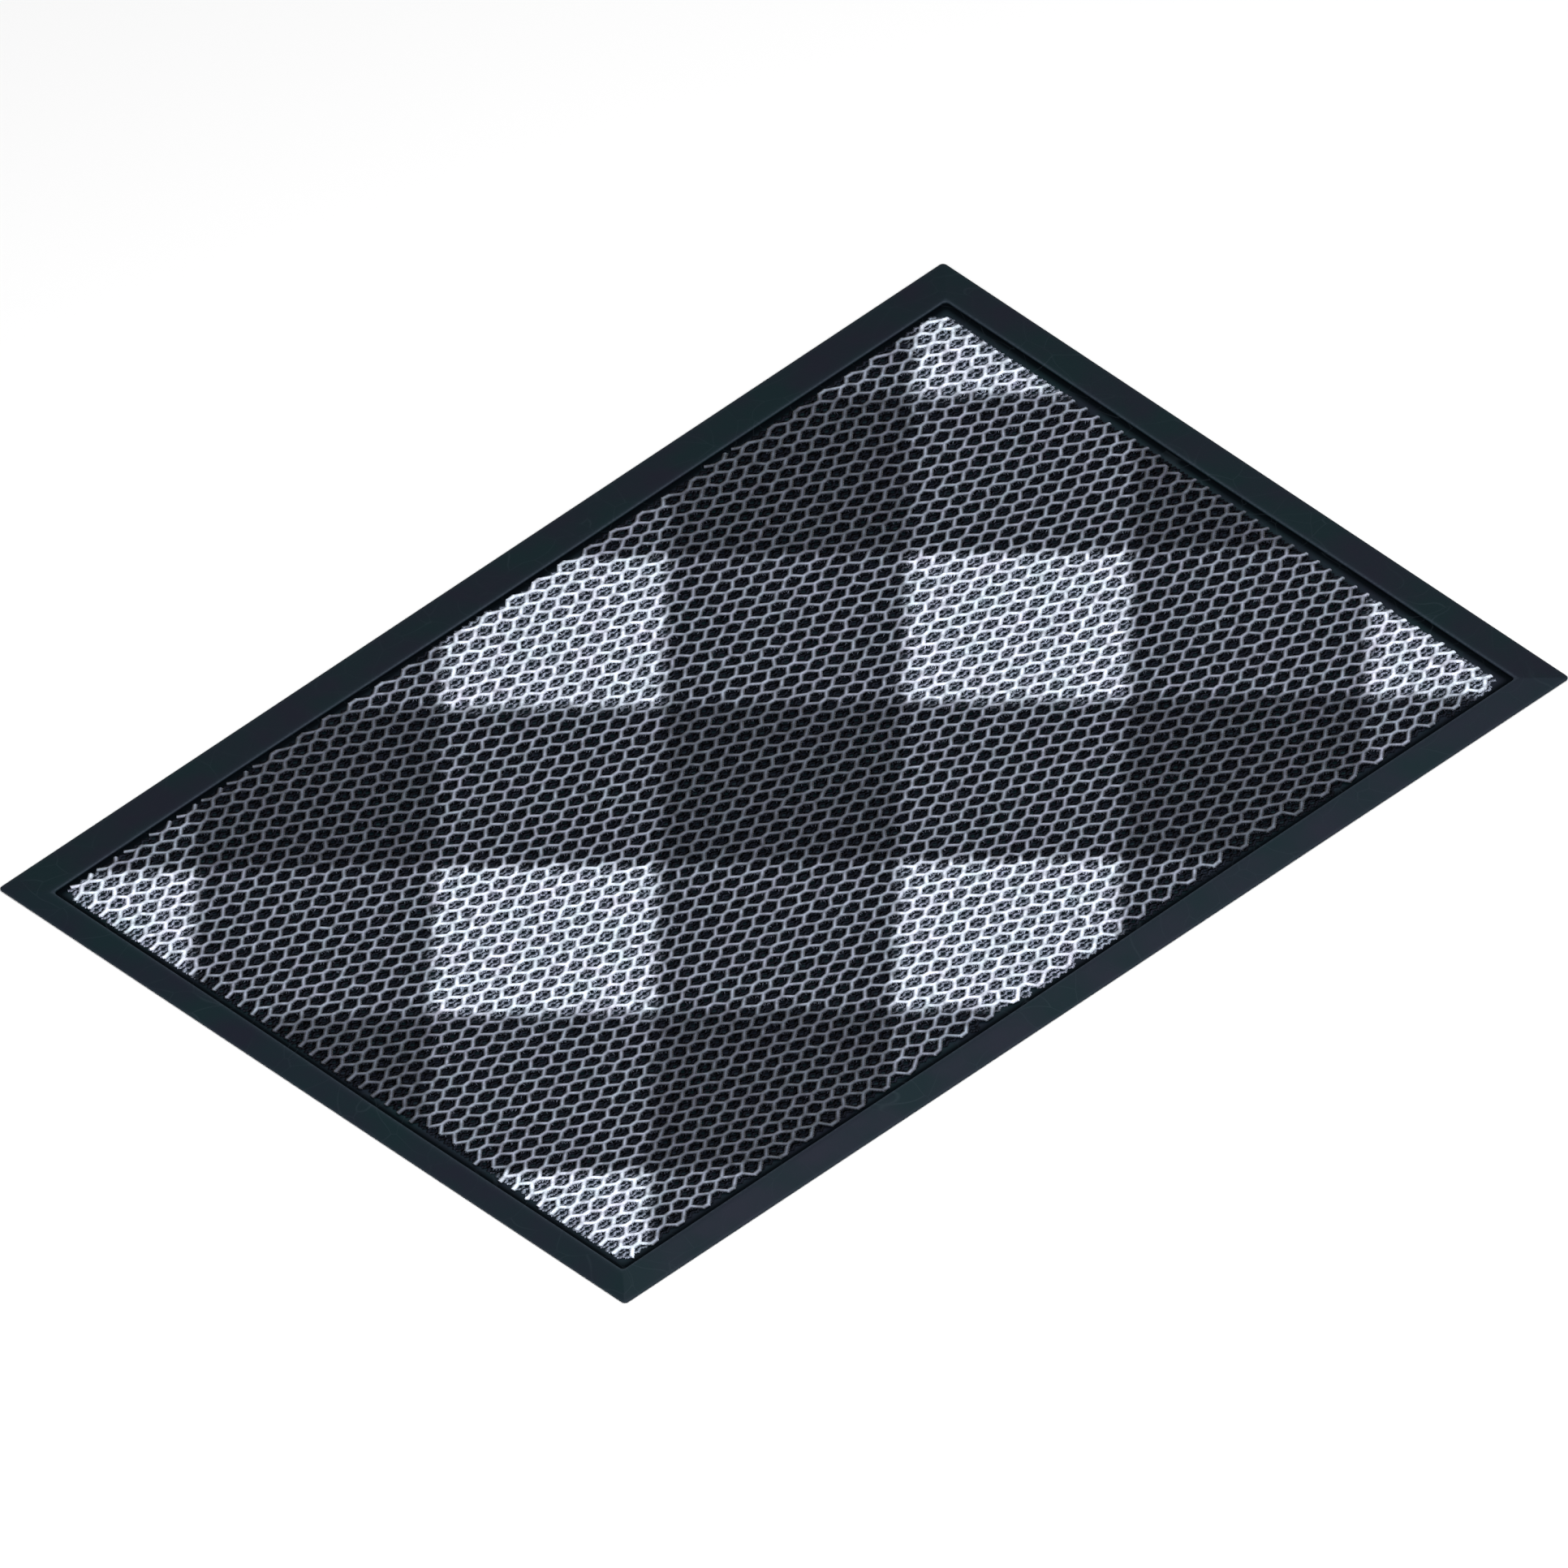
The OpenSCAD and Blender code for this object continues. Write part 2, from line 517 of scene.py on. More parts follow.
@dataclass(frozen=True)
class MouldedRubber:
    """Black rubber, compression moulded: a satin skin with a fine grain, cloudy where it was released."""

    name: str = "rubber_moulded_satin"
    base: str = "#131620"
    cloud: str = "#091b1e"
    # Painted shade for the pocket's wall and the floor along it
    painted_pocket_shade: str = "#05080b"
    # Pale specks: dust on worn edges, and a painted highlight along the pocket's mouth
    dust_and_highlight: str = "#3b444e"
    scratch: str = "#4d5861"
    tint: str = "#cfdcf8"
    roughness: float = 0.5
    shine: float = 0.18
    grain: float = 0.45 * MM
    grain_depth: float = 0.04 * MM
    grain_strength: float = 0.5
    cloud_scale: float = 0.03 / MM
    cloud_range: tuple[float, float] = (0.35, 0.65)
    speck_scale: float = 0.9 / MM
    scuff_scale: float = 0.05 / MM
    scuff_bend_scale: float = 0.02 / MM
    scuff_bend: float = 0.05
    scuff_width: float = 0.012
    scuff_share: float = 0.1
    # How much smoother and rougher the skin is than its middle value, from clear rubber to a cloud
    release: tuple[float, float] = (-0.05, 0.06)

    def make(self) -> Material:
        """Builds the material.

        Returns:
            The material.
        """
        material, tree = start_finish(self.name)
        place = add_node(tree, "ShaderNodeTexCoord").outputs["Object"]
        # Release agent leaves greenish blue clouds, a few centimetres wide
        cloudy = remap(tree, noise(tree, place, self.cloud_scale, 4.0), *self.cloud_range)
        colour = blend(tree, cloudy, linear(self.base), linear(self.cloud))
        # The pocket's wall and the floor along it are painted darker and less shiny, as shade, where the
        # per-point attribute falls below its plain value
        painted_light_and_wear = number(tree, "painted_light_and_wear")
        unshaded = remap(tree, painted_light_and_wear, 0.0, PLAIN_LIGHT_AND_WEAR)
        colour = blend(tree, unshaded, linear(self.painted_pocket_shade), colour)
        # Pale specks where the per-point attribute rises above plain: dust on worn edges, and a painted
        # highlight along the pocket's mouth
        above_plain = remap(tree, painted_light_and_wear, PLAIN_LIGHT_AND_WEAR, 1.0)
        dust_and_highlight_share = reckon(tree, "MULTIPLY", above_plain, noise(tree, place, self.speck_scale, 4.0))
        colour = blend(tree, dust_and_highlight_share, colour, linear(self.dust_and_highlight))
        # Scuffs: short pale scratches, in no one direction
        bent = noise(tree, place, self.scuff_bend_scale, 1.0).outputs["Color"]
        warped = reckon_vector(tree, "MULTIPLY_ADD", bent, (self.scuff_bend,) * 3, place)
        inputs = {"Vector": warped, "Scale": self.scuff_scale}
        veins = add_node(tree, "ShaderNodeTexVoronoi", inputs, feature="DISTANCE_TO_EDGE")
        line = remap(tree, veins, 0.0, self.scuff_width, self.scuff_share, 0.0)
        patchy = reckon(tree, "MULTIPLY", line, cloudy)
        colour = blend(tree, patchy, colour, linear(self.scratch))
        matt = remap(tree, cloudy, 0.0, 1.0, *(self.roughness + part for part in self.release))
        grains = add_node(tree, "ShaderNodeTexVoronoi", {"Vector": place, "Scale": 1 / self.grain})
        inputs = {"Height": grains, "Distance": self.grain_depth, "Strength": self.grain_strength}
        fine = add_node(tree, "ShaderNodeBump", inputs)
        end_finish(
            tree,
            {
                "Base Color": colour,
                "Roughness": matt,
                "Specular IOR Level": reckon(tree, "MULTIPLY", unshaded, self.shine),
                "Specular Tint": linear(self.tint),
                "Normal": fine,
            },
        )
        return material


# ---------------------------------------------------------------- tray


@dataclass(frozen=True)
class Ring:
    """One loop of the tray's skin: a share of the bevel in from the foot, and some metres beyond that."""

    share: float
    inset: float
    height: float
    radius: float
    # Low values paint the rubber darker, as shade; high ones speckle it pale, as dust and a painted highlight
    painted_light_and_wear: float = PLAIN_LIGHT_AND_WEAR


@dataclass
class Tray:
    """The rubber tray: one skin that runs from the sole over the border into the pocket."""

    finish: Material
    foot_height: float = 0.8 * MM
    lip_land: float = 2.2 * MM
    mouth_bevel: float = 0.5 * MM
    corner_radius: float = 2.2 * MM
    pocket_radius: float = 2.0 * MM
    web_thickness: float = 1.0 * MM
    crease_radius: float = 0.4 * MM
    edge_round: float = 0.35 * MM
    stud_diameter: float = 8.0 * MM
    stud_pitch: float = 34.0 * MM
    stud_round: float = 0.25 * MM
    stud_sides: int = 16
    steps_x: int = 56
    steps_y: int = 38
    corner_steps: int = 6
    bow: float = 0.35 * MM
    bow_swings: float = 9.0
    low: Vector = field(init=False)
    high: Vector = field(init=False)
    pocket_low: Vector = field(init=False)
    pocket_high: Vector = field(init=False)

    def __post_init__(self) -> None:
        """Takes the outline and the pocket from the frame."""
        self.low, self.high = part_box("tray_border")
        self.pocket_low, self.pocket_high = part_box("tray_floor")

    def rings(self) -> list[Ring]:
        """Lists the loops of the skin, from the sole's inner edge, round the foot and the lip, to the floor.

        The painted light and wear runs from 0 in the pocket's corner, which the finish paints darker as
        shade, over the plain value on a plain face towards 1 on edges speckled pale, as dust where worn
        and as a painted highlight along the pocket's mouth.

        Returns:
            The loops in order.
        """
        foot, lip, floor = self.foot_height, self.high.z, self.pocket_high.z
        under = floor - self.web_thickness
        land, mouth = self.lip_land, self.lip_land - self.mouth_bevel
        edge, crease, inner = self.edge_round, self.crease_radius, self.pocket_radius
        corner = self.corner_radius

        def bevel(share: float) -> float:
            """Gives the height of the bevel at a share of its run."""
            return foot + share * (lip - foot)

        sole = [
            Ring(1.0, land + 3.0 * MM, under, crease),
            Ring(1.0, land - 0.1 * MM, under, crease),
            Ring(1.0, land - 0.3 * MM, under - 0.15 * MM, crease),
            Ring(1.0, land - 0.8 * MM, 0.0, crease),
            Ring(0.5, 0.0, 0.0, crease),
            Ring(0.0, edge, 0.0, corner - edge),
            Ring(0.0, 0.3 * edge, 0.3 * edge, corner),
            Ring(0.0, 0.0, edge, corner),
        ]
        border = [
            Ring(0.0, 0.0, foot - edge, corner, 0.4),
            Ring(0.01, 0.0, foot - 0.2 * edge, corner, 0.6),
            Ring(0.03, 0.0, bevel(0.03), corner - edge, 0.4),
            Ring(0.12, 0.0, bevel(0.12), 1.2 * MM),
            Ring(0.24, 0.0, bevel(0.24), crease),
            Ring(0.5, 0.0, bevel(0.5), crease),
            Ring(0.86, 0.0, bevel(0.86), crease),
            Ring(0.94, 0.0, bevel(0.94), crease, 0.32),
            Ring(1.0, 0.0, lip - 0.04 * MM, crease, 0.34),
            Ring(1.0, 0.6 * MM, lip, crease, 0.4),
        ]
        # Round the pocket's mouth the high values paint a pale highlight; the wall, its fillet and the floor
        # along it get low values, painted darker as shade
        pocket = [
            Ring(1.0, mouth - 0.3 * MM, lip, inner, 0.7),
            Ring(1.0, mouth, lip - 0.06 * MM, inner, 0.9),
            Ring(1.0, land - 0.12 * MM, lip - 0.4 * MM, inner, 0.25),
            Ring(1.0, land, lip - 0.65 * MM, inner, 0.08),
            Ring(1.0, land, floor + 0.5 * MM, inner, 0.0),
            Ring(1.0, land + 0.15 * MM, floor + 0.15 * MM, inner, 0.0),
            Ring(1.0, land + 0.5 * MM, floor, inner, 0.0),
            Ring(1.0, land + 1.9 * MM, floor, inner, 0.02),
            Ring(1.0, land + 4.6 * MM, floor, inner),
        ]
        return sole + border + pocket

    def corners(self, ring: Ring) -> tuple[float, float, float, float]:
        """Gives the four sides of a loop.

        Args:
            ring: The loop.

        Returns:
            Its lowest x, highest x, lowest y and highest y.
        """
        near, far = self.pocket_low - self.low, self.high - self.pocket_high
        widths = (near.x, far.x, near.y, far.y)
        left, right, front, back = (ring.share * (width - self.lip_land) + ring.inset for width in widths)
        return self.low.x + left, self.high.x - right, self.low.y + front, self.high.y - back

    def outline(self, ring: Ring) -> list[tuple[float, float]]:
        """Draws a loop as a rounded rectangle, with straight runs that bow a little.

        Args:
            ring: The loop.

        Returns:
            Its points, anticlockwise from the +X side.
        """
        left, right, front, back = self.corners(ring)
        radius = ring.radius
        centres = [
            (right - radius, back - radius, 0.0),
            (left + radius, back - radius, 90.0),
            (left + radius, front + radius, 180.0),
            (right - radius, front + radius, 270.0),
        ]
        points: list[tuple[float, float]] = []
        for turn, (x, y, first) in enumerate(centres):
            for step in range(self.corner_steps + 1):
                angle = math.radians(first + 90 * step / self.corner_steps)
                points.append((x + radius * math.cos(angle), y + radius * math.sin(angle)))
            next_x, next_y, _ = centres[(turn + 1) % 4]
            middle = math.radians(first + 90)
            steps = self.steps_x if turn % 2 == 0 else self.steps_y
            for step in range(1, steps):
                share = (1 - math.cos(math.pi * step / steps)) / 2
                swing = math.sin(self.bow_swings * share + 2 * turn)
                out = radius + self.bow * ring.share * math.sin(math.pi * share) * swing
                along_x, along_y = x + share * (next_x - x), y + share * (next_y - y)
                points.append((along_x + out * math.cos(middle), along_y + out * math.sin(middle)))
        return points

    def skin(self) -> Piece:
        """Makes the moulding from its loops.

        Returns:
            The tray's skin, closed underneath and in the pocket.
        """
        rings = self.rings()
        points = [[(x, y, ring.height) for x, y in self.outline(ring)] for ring in rings]
        around = len(points[0])
        faces: list[tuple[int, ...]] = []
        for near in range(0, (len(rings) - 1) * around, around):
            for step in range(around):
                after = (step + 1) % around
                faces.append((near + step, near + around + step, near + around + after, near + after))
        faces.append(tuple(range(around)))
        faces.append(tuple(reversed(range((len(rings) - 1) * around, len(rings) * around))))
        mesh = bpy.data.meshes.new("rubber_tray")
        mesh.from_pydata([p for row in points for p in row], [], faces)
        set_light_and_wear(mesh, np.repeat([ring.painted_light_and_wear for ring in rings], around))
        knit = bmesh.new()
        knit.from_mesh(mesh)
        bmesh.ops.recalc_face_normals(knit, faces=knit.faces)
        knit.to_mesh(mesh)
        knit.free()
        mesh.shade_smooth()
        mesh.set_sharp_from_angle(angle=SHARP_TURN)
        return show("rubber_tray", mesh)

    def stud(self) -> Mesh:
        """Turns one stud of the sole: a low disc with a rounded end, from the ground into the floor.

        Returns:
            The stud, centred on the Z axis.
        """
        rim = self.stud_diameter / 2
        root = self.pocket_high.z - self.web_thickness / 2
        sides = self.stud_sides
        turned = bmesh.new()
        rows = []
        for radius, height in ((rim - self.stud_round, 0.0), (rim, self.stud_round), (rim, root)):
            spoke = Vector((radius, 0, height))
            turns = [Matrix.Rotation(math.tau * i / sides, 3, "Z") for i in range(sides)]
            rows.append([turned.verts.new(turn @ spoke) for turn in turns])
        for lower, upper in zip(rows, rows[1:]):
            for i in range(sides):
                turned.faces.new((lower[i], lower[(i + 1) % sides], upper[(i + 1) % sides], upper[i]))
        turned.faces.new(reversed(rows[0]))
        turned.faces.new(rows[-1])
        mesh = bpy.data.meshes.new("stud")
        turned.to_mesh(mesh)
        turned.free()
        set_light_and_wear(mesh, [PLAIN_LIGHT_AND_WEAR] * len(mesh.vertices))
        return mesh

    def studs(self) -> Piece:
        """Sets the studs in straight rows under the floor of the tray.

        Returns:
            The studs as one piece.
        """
        span = self.pocket_high - self.pocket_low
        along, across = (int((side - self.stud_diameter) / self.stud_pitch) for side in (span.x, span.y))
        middle = (self.pocket_low + self.pocket_high) / 2
        values = {
            "Length": (along - 1) * self.stud_pitch,
            "Width": (across - 1) * self.stud_pitch,
            "Along": along,
            "Across": across,
            "Middle": (middle.x, middle.y, 0.0),
            "Finish": self.finish,
        }
        tree, inlet = start_tree("Studs of the sole", values)
        wanted = inlet.outputs
        grid = {"Size X": "Length", "Size Y": "Width", "Vertices X": "Along", "Vertices Y": "Across"}
        spots = add_node(tree, "GeometryNodeMeshGrid", {key: wanted[title] for key, title in grid.items()})
        placed = add_node(tree, "GeometryNodeTransform", {"Geometry": spots, "Translation": wanted["Middle"]})
        inputs = {"Points": placed, "Instance": wanted["Mesh"]}
        end_tree(tree, add_node(tree, "GeometryNodeInstanceOnPoints", inputs), inlet)
        studs = run_tree("sole_studs", tree, self.stud(), values)
        studs.data.shade_smooth()
        studs.data.set_sharp_from_angle(angle=SHARP_TURN)
        return studs

    def build(self) -> list[Piece]:
        """Makes the tray and ties it to the frame.

        Returns:
            The skin and the studs.
        """
        skin, studs = self.skin(), self.studs()
        skin.data.materials.append(self.finish)
        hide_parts("tray_border", "tray_floor")
        for piece in (skin, studs):
            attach(piece, Body.TRAY.value)
        return [skin, studs]


# ---------------------------------------------------------------- insert


@dataclass(frozen=True)
class Knit:
    """How a net is knitted: zigzag wales along X, joined side by side where they swing together."""

    wale_gap: float
    course: float
    rings: int
    swing: float
    steepness: float
    tightness: float
    wander: float
    yarn_width: float
    yarn_height: float
    sides: int
    drift: float = 9 * MM
    seed: float = 3.0


FACE_KNIT = Knit(
    wale_gap=3.92 * MM,
    course=8.22 * MM,
    rings=4,
    swing=1.84 * MM,
    steepness=1.9,
    tightness=0.7,
    wander=2.3 * MM,
    yarn_width=2.35 * MM,
    yarn_height=0.8 * MM,
    sides=4,
)
BACK_KNIT = Knit(
    wale_gap=2.61 * MM,
    course=2.35 * MM,
    rings=1,
    swing=0.8 * MM,
    steepness=2.0,
    tightness=0.0,
    wander=0.8 * MM,
    yarn_width=2.45 * MM,
    yarn_height=0.4 * MM,
    sides=3,
)


@dataclass
class CutCloth:
    """The outline that the cloth was cut to, and how its raw edge hangs."""

    corner: float = 6 * MM
    ripple: float = 1.4 * MM
    droop: float = 1.3 * MM
    droop_width: float = 6 * MM
    low: Vector = field(init=False)
    high: Vector = field(init=False)

    def __post_init__(self) -> None:
        """Takes the outline from the frame."""
        self.low, self.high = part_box("face_net")

    @property
    def size(self) -> Vector:
        """The length and the width of the cut."""
        return self.high - self.low

    @property
    def middle(self) -> Vector:
        """The middle of the cut, at ground height."""
        centre = (self.low + self.high) / 2
        return Vector((centre.x, centre.y, 0.0))


# Swings in a metre of the noises that bend single cells, whole rows and the knife's path
CELL_NOISE = 0.11 / MM
ROW_NOISE = 0.006 / MM
KNIFE_NOISE = 0.012 / MM


def lay_wales(tree: Tree, inlet: Node) -> Node:
    """Adds the nodes that lay the wales of a net and cut them to the outline of the cloth.

    Args:
        tree: The geometry tree.
        inlet: Its input node, which has all the inputs of Insert.wale_values.

    Returns:
        A node whose first output is the wales as curves, with their wale and ring numbers.
    """
    wanted = inlet.outputs
    first_x, first_y, _ = split(tree, wanted["First ring"])
    across = add_node(tree, "ShaderNodeCombineXYZ", {"Y": wanted["Wale gap"]})
    inputs = {"Count": wanted["Wales"], "Start Location": wanted["First ring"], "Offset": across}
    feet = add_node(tree, "GeometryNodeMeshLine", inputs, mode="OFFSET")
    along = add_node(tree, "ShaderNodeCombineXYZ", {"X": wanted["Ring gap"]})
    wale = add_node(tree, "GeometryNodeMeshLine", {"Count": wanted["Rings"], "Offset": along}, mode="OFFSET")
    rows = add_node(tree, "GeometryNodeInstanceOnPoints", {"Points": feet, "Instance": wale})
    laid = add_node(tree, "GeometryNodeRealizeInstances", {"Geometry": rows})

    # Number the wales and the rings, which the zigzag and the bake's map both use
    place = add_node(tree, "GeometryNodeInputPosition")
    x, y, _ = split(tree, place)
    for title, start, value, gap in (("wale", first_y, y, "Wale gap"), ("ring", first_x, x, "Ring gap")):
        gaps = reckon(tree, "DIVIDE", reckon(tree, "SUBTRACT", value, start), wanted[gap])
        laid = keep_number(tree, laid, title, reckon(tree, "ROUND", gaps))

    # Rings gather at the corners of the zigzag, which keeps the corners crisp
    beats = reckon(tree, "DIVIDE", reckon(tree, "MULTIPLY", x, 2.0), wanted["Course"])
    early = reckon(tree, "SUBTRACT", reckon(tree, "FRACT", beats), 0.5)
    pull = reckon(tree, "MULTIPLY", early, wanted["Corner pull"])
    laid = shift(tree, laid, add_node(tree, "ShaderNodeCombineXYZ", {"X": pull}))

    # Zigzag: neighbours swing together over half a course and part over the next half
    odd = reckon(tree, "MODULO", kept_number(tree, "wale"), 2.0)
    side = reckon(tree, "MULTIPLY_ADD", odd, -2.0, 1.0)
    sweep = reckon(tree, "PINGPONG", x, wanted["Course"])
    share = reckon(tree, "DIVIDE", sweep, wanted["Course"])
    fold = reckon(tree, "MULTIPLY_ADD", share, -2.0, 1.0)
    steep = reckon(tree, "MULTIPLY", fold, wanted["Steepness"])
    flat = add_node(tree, "ShaderNodeClamp", {"Value": steep, "Min": -1.0, "Max": 1.0})
    swung = reckon(tree, "MULTIPLY", reckon(tree, "MULTIPLY", side, flat), wanted["Swing"])
    laid = shift(tree, laid, add_node(tree, "ShaderNodeCombineXYZ", {"Y": swung}))

    # A hand-laid cloth is never true: cells differ, and whole rows drift
    for scale, size in ((CELL_NOISE, wanted["Wander"]), (ROW_NOISE, wanted["Drift"])):
        uneven = seeded_noise(tree, place, wanted["Seed"], scale, 0.0).outputs["Color"]
        centred = reckon_vector(tree, "SUBTRACT", uneven, MID_NOISE)
        sized = reckon_vector(tree, "SCALE", centred, size)
        laid = shift(tree, laid, reckon_vector(tree, "MULTIPLY", sized, (1.0, 1.0, 0.0)))

    # Distance inside the cut outline, a round-cornered rectangle, with an uneven hand on the knife
    off_centre = reckon_vector(tree, "SUBTRACT", place, wanted["Middle"])
    folded = reckon_vector(tree, "ABSOLUTE", off_centre)
    past = reckon_vector(tree, "SUBTRACT", folded, wanted["Straight half"])
    outer = reckon_vector(tree, "MAXIMUM", past, (0.0,) * 3)
    reach = reckon_vector(tree, "LENGTH", outer).outputs["Value"]
    past_x, past_y, _ = split(tree, past)
    inner = reckon(tree, "MINIMUM", reckon(tree, "MAXIMUM", past_x, past_y), 0.0)
    depth = reckon(tree, "SUBTRACT", reckon(tree, "ADD", reach, inner), wanted["Corner"])
    knife = seeded_noise(tree, place, wanted["Seed"], KNIFE_NOISE, 1.0)
    depth = reckon(tree, "ADD", depth, reckon(tree, "MULTIPLY", knife, wanted["Ripple"]))
    laid = keep_number(tree, laid, "depth", depth)
    known = kept_number(tree, "depth")
    outside = add_node(
        tree, "FunctionNodeCompare", {0: known, 1: 0.0}, data_type="FLOAT", operation="GREATER_THAN"
    )
    inputs = {"Geometry": laid, "Selection": outside}
    laid = add_node(tree, "GeometryNodeDeleteGeometry", inputs, domain="POINT")

    # The raw edge rolls down over its last cell
    back = reckon(tree, "MULTIPLY", wanted["Droop width"], -1.0)
    fallen = remap(tree, known, back, 0.0, 0.0, wanted["Droop"], smooth=True)
    height = reckon(tree, "SUBTRACT", wanted["Level"], fallen)
    laid = shift(tree, laid, add_node(tree, "ShaderNodeCombineXYZ", {"Z": height}))
    return add_node(tree, "GeometryNodeMeshToCurve", {"Mesh": laid})


@dataclass
class Insert:
    """The spacer mesh: its three layers share one cut outline and one way of laying the wales."""

    cloth: CutCloth
    face_finish: Material
    upright_finish: Material
    back_finish: Material
    face_knit: Knit = FACE_KNIT
    back_knit: Knit = BACK_KNIT
    upright_gap: float = 0.5 * MM
    upright_thickness: float = 0.5 * MM
    upright_lean: float = 1.05
    upright_trim: float = 1.6 * MM
    # How far down an upright is thickest, and how far its colour has turned there towards the darker copy
    # painted as shade
    belly: float = 0.55
    belly_painted_shade: float = 0.3

    def wale_values(self, knit: Knit, level: float, droop: float, finish: Material) -> dict[str, Any]:
        """Works out what a tree that lays wales needs.

        Args:
            knit: How the layer is knitted.
            level: The height of the wales' middle.
            droop: How far the raw edge hangs down.
            finish: The layer's material.

        Returns:
            The value of each input, by the input's name.
        """
        cloth = self.cloth
        ring_gap = knit.course / knit.rings
        spare = 2 * knit.wale_gap
        wales = math.ceil((cloth.size.y + 2 * spare) / knit.wale_gap)
        courses = math.ceil((cloth.size.x / 2 + spare) / knit.course)
        start_x = -courses * knit.course + ring_gap / 2 * (knit.rings > 1)
        start_y = cloth.middle.y - (wales - 1) / 2 * knit.wale_gap
        half = cloth.size / 2
        return {
            "Wales": wales,
            "Rings": 2 * courses * knit.rings + (knit.rings == 1),
            "First ring": (start_x, start_y, 0.0),
            "Wale gap": knit.wale_gap,
            "Ring gap": ring_gap,
            "Course": knit.course,
            "Swing": knit.swing,
            "Steepness": knit.steepness,
            "Corner pull": -knit.tightness * knit.course / 2,
            "Wander": knit.wander,
            "Drift": knit.drift,
            "Middle": tuple(cloth.middle),
            "Straight half": (half.x - cloth.corner, half.y - cloth.corner, 0.0),
            "Corner": cloth.corner,
            "Ripple": cloth.ripple,
            "Droop": droop,
            "Droop width": cloth.droop_width,
            "Level": level,
            "Seed": knit.seed,
            "Finish": finish,
        }

    def net(self, name: str, knit: Knit, level: float, droop: float, finish: Material) -> Piece:
        """Knits one of the two nets.

        Args:
            name: The piece's name.
            knit: How it is knitted, and from what yarn.
            level: The height of the middle of the yarn.
            droop: How far its raw edge hangs down.
            finish: Its material.

        Returns:
            The net.
        """
        values = self.wale_values(knit, level, droop, finish)
        values |= {"Yarn width": knit.yarn_width, "Yarn height": knit.yarn_height, "Sides": knit.sides}
        tree, inlet = start_tree(f"Knit {name}", values)
        wanted = inlet.outputs
        wales = add_node(tree, "GeometryNodeSetCurveNormal", {"Curve": lay_wales(tree, inlet)}, mode="Z_UP")
        run = add_node(tree, "GeometryNodeSplineParameter").outputs["Length"]
        wales = keep_number(tree, wales, "along", run)
        inputs = {"Resolution": wanted["Sides"], "Radius": 1.0}
        round_yarn = add_node(tree, "GeometryNodeCurvePrimitiveCircle", inputs).outputs["Curve"]
        inputs = {"Geometry": round_yarn, "Rotation": (0.0, 0.0, math.pi / 2)}
        upright = add_node(tree, "GeometryNodeTransform", inputs)
        x, _, _ = split(tree, add_node(tree, "GeometryNodeInputPosition"))
        marked = keep_number(tree, upright, "lateral", x)
        marked = keep_number(tree, marked, "side", add_node(tree, "GeometryNodeInputIndex"))
        halves = [reckon(tree, "MULTIPLY", wanted[title], 0.5) for title in ("Yarn width", "Yarn height")]
        girth = add_node(tree, "ShaderNodeCombineXYZ", {"X": halves[0], "Y": halves[1], "Z": 1.0})
        profile = add_node(tree, "GeometryNodeTransform", {"Geometry": marked, "Scale": girth})
        inputs = {"Curve": wales, "Profile Curve": profile, "Fill Caps": True}
        swept = add_node(tree, "GeometryNodeCurveToMesh", inputs)
        end_tree(tree, add_node(tree, "GeometryNodeSetShadeSmooth", {"Geometry": swept}), inlet)
        net = run_tree(name, tree, bpy.data.meshes.new(f"{name}_seed"), values)
        lay_map(net.data, knit.sides)
        drop_numbers(net.data)
        return net

    def filament(self) -> Mesh:
        """Makes one upright yarn: a three-sided spindle that hangs from the origin to -1.

        Returns:
            The spindle, one metre long and one wide, to be scaled where it is set.
        """
        turns = [math.tau * i / 3 for i in range(3)]
        ring = [(math.cos(turn) / 2, math.sin(turn) / 2, -self.belly) for turn in turns]
        corners = [(0.0, 0.0, 0.0), *ring, (0.0, 0.0, -1.0)]
        faces = [(0, 1 + i, 1 + (i + 1) % 3) for i in range(3)]
        faces += [(4, 1 + (i + 1) % 3, 1 + i) for i in range(3)]
        mesh = bpy.data.meshes.new("filament")
        mesh.from_pydata(corners, [], faces)
        # How far down each point lies: the finish paints the yarn darker, as shade, the further down it goes
        down = mesh.attributes.new("down", "FLOAT", "POINT")
        down.data.foreach_set("value", [0.0, *[self.belly_painted_shade] * 3, 1.0])
        return mesh

    def uprights(self, name: str, top: float, foot: float) -> Piece:
        """Stands the upright yarns round the cells, leaning into them as they go down.

        Args:
            name: The piece's name.
            top: The height of their upper ends.
            foot: The height that they reach down to, also where the raw edge rolls down.

        Returns:
            The uprights as one piece.
        """
        values = self.wale_values(self.face_knit, top, self.cloth.droop, self.upright_finish)
        # The outermost uprights are missing along the -X and -Y edges
        half_x, half_y, _ = values["Straight half"]
        lost = self.upright_trim / 2
        values |= {
            "Spacing": self.upright_gap,
            "Thickness": self.upright_thickness,
            "Foot": foot,
            "Lean": self.upright_lean,
            "Straight half": (half_x - lost, half_y - lost, 0.0),
            "Middle": (self.cloth.middle.x + lost, self.cloth.middle.y + lost, 0.0),
        }
        tree, inlet = start_tree("Stand upright yarns", values)
        wanted = inlet.outputs
        inputs = {"Curve": lay_wales(tree, inlet), "Length": wanted["Spacing"]}
        even = add_node(tree, "GeometryNodeResampleCurve", inputs, mode="LENGTH")
        roots = add_node(tree, "GeometryNodeCurveToPoints", {"Curve": even}, mode="EVALUATED")
        ahead = roots.outputs["Tangent"]
        sideways = reckon_vector(tree, "CROSS_PRODUCT", ahead, UP)
